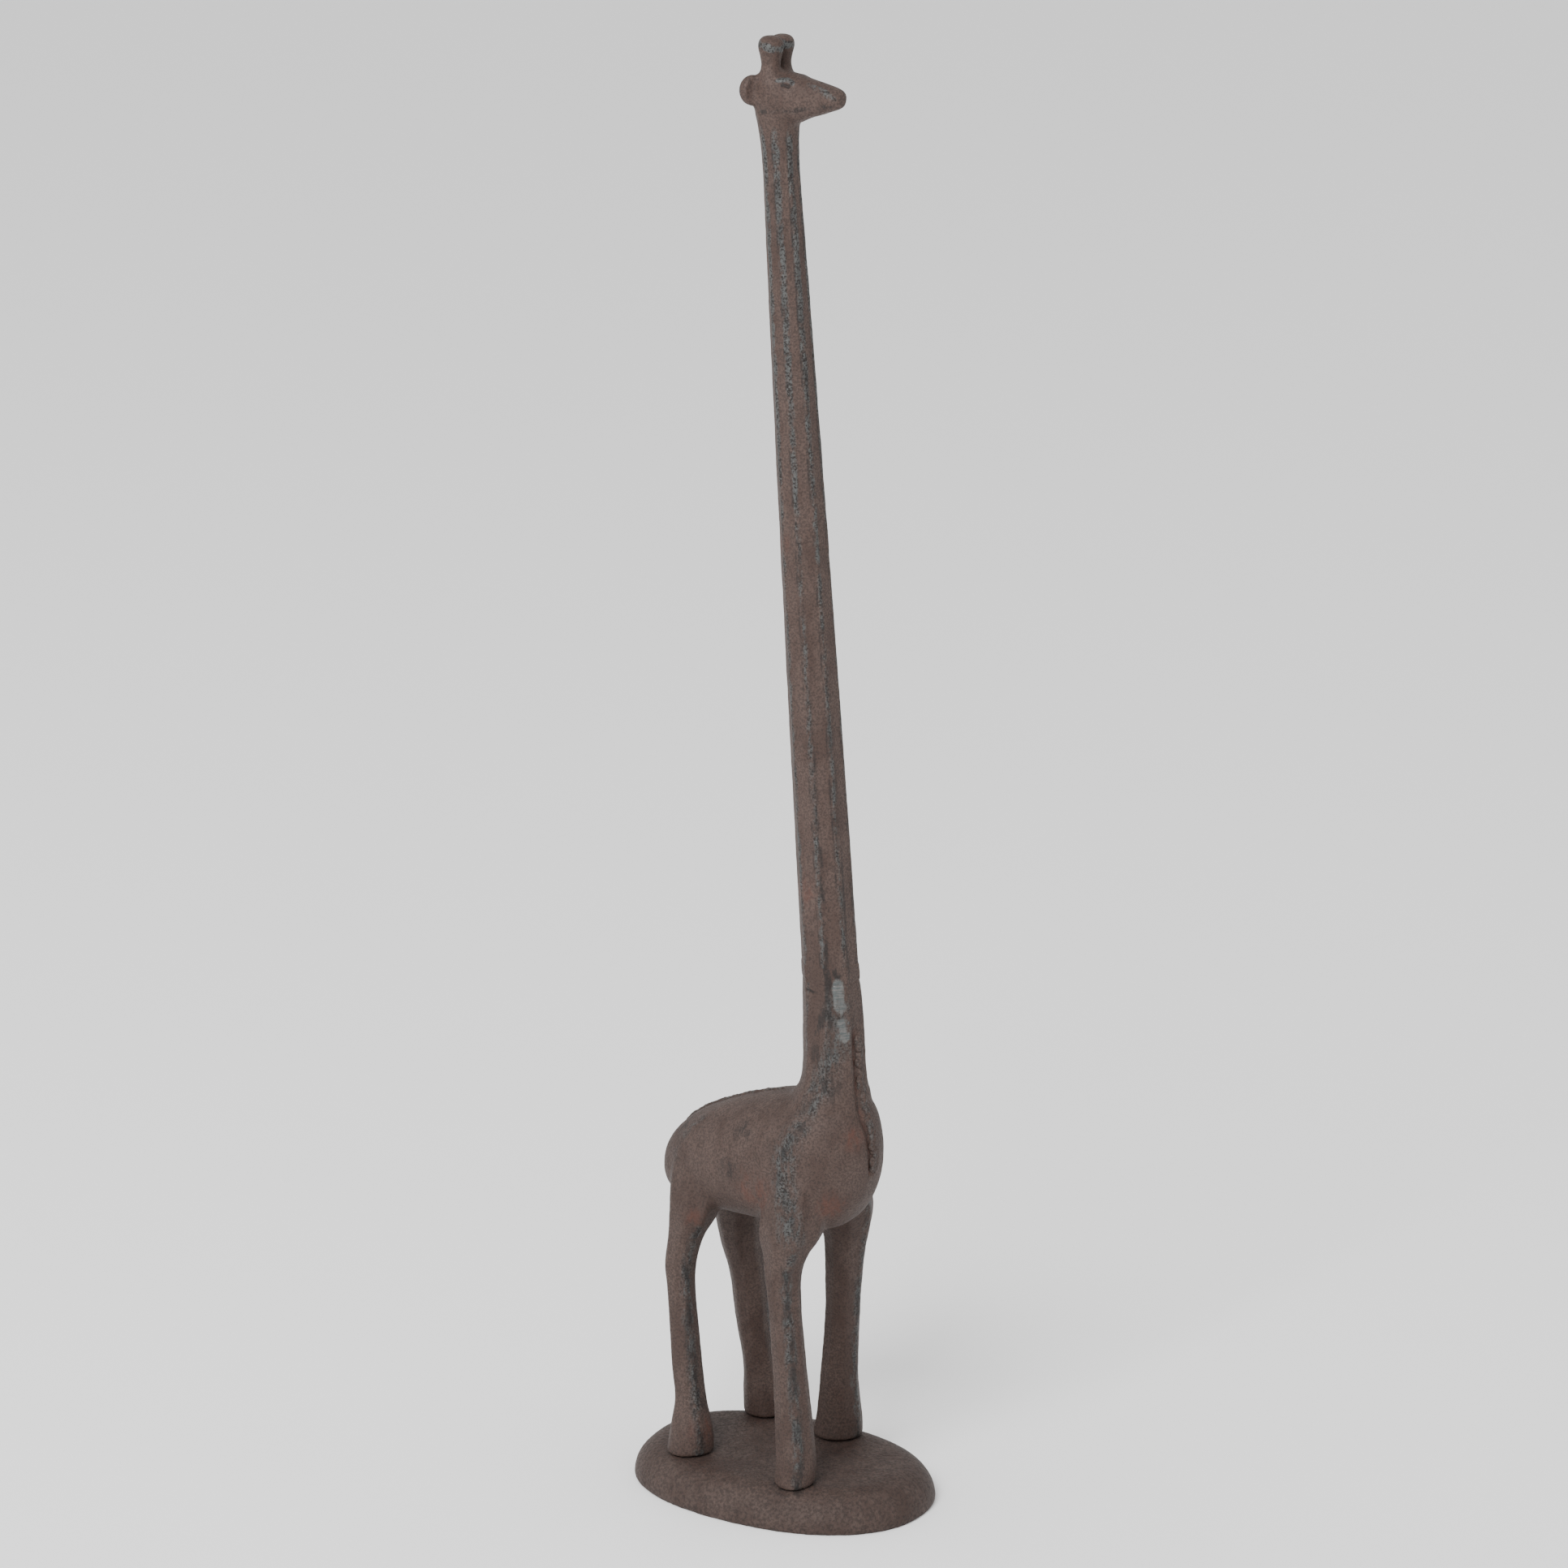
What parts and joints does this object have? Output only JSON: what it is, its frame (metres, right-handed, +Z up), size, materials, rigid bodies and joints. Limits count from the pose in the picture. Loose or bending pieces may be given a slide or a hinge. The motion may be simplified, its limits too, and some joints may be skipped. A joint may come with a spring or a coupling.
{
  "type": "giraffe roll stand",
  "caption": "Cast iron giraffe with a long straight neck on an oval foot, a figure that also serves as a post for spare paper rolls.",
  "frame": {"origin": "middle of the foot's underside, on the surface it stands on", "axes": "+Z up, +X the way the animal faces, +Y its left side"},
  "size_m": [0.107, 0.0752, 0.4926],
  "materials": {
    "body_iron": "rust brown sand casting with blue-grey rubbed ridges",
    "neck_iron": "rust brown sand casting with blue-grey rubbed edges",
    "foot_iron": "rust brown sand casting, matt",
    "weld_metal": "ragged weld, partly ground to bare grey",
    "screw_steel": "zinc plated"
  },
  "bodies": {
    "root": {"base_plate": "foot_iron", "body_right_half": "body_iron", "body_left_half": "body_iron", "neck_and_head": "neck_iron", "neck_joint_weld": "weld_metal", "chest_seam_weld": "weld_metal", "back_seam_weld": "weld_metal", "belly_seam_weld": "weld_metal", "base_screw_right_fore": "screw_steel", "base_screw_right_hind": "screw_steel", "base_screw_left_fore": "screw_steel", "base_screw_left_hind": "screw_steel", "washer_right_fore": "screw_steel", "washer_right_hind": "screw_steel", "washer_left_fore": "screw_steel", "washer_left_hind": "screw_steel"}
  },
  "joints": []
}
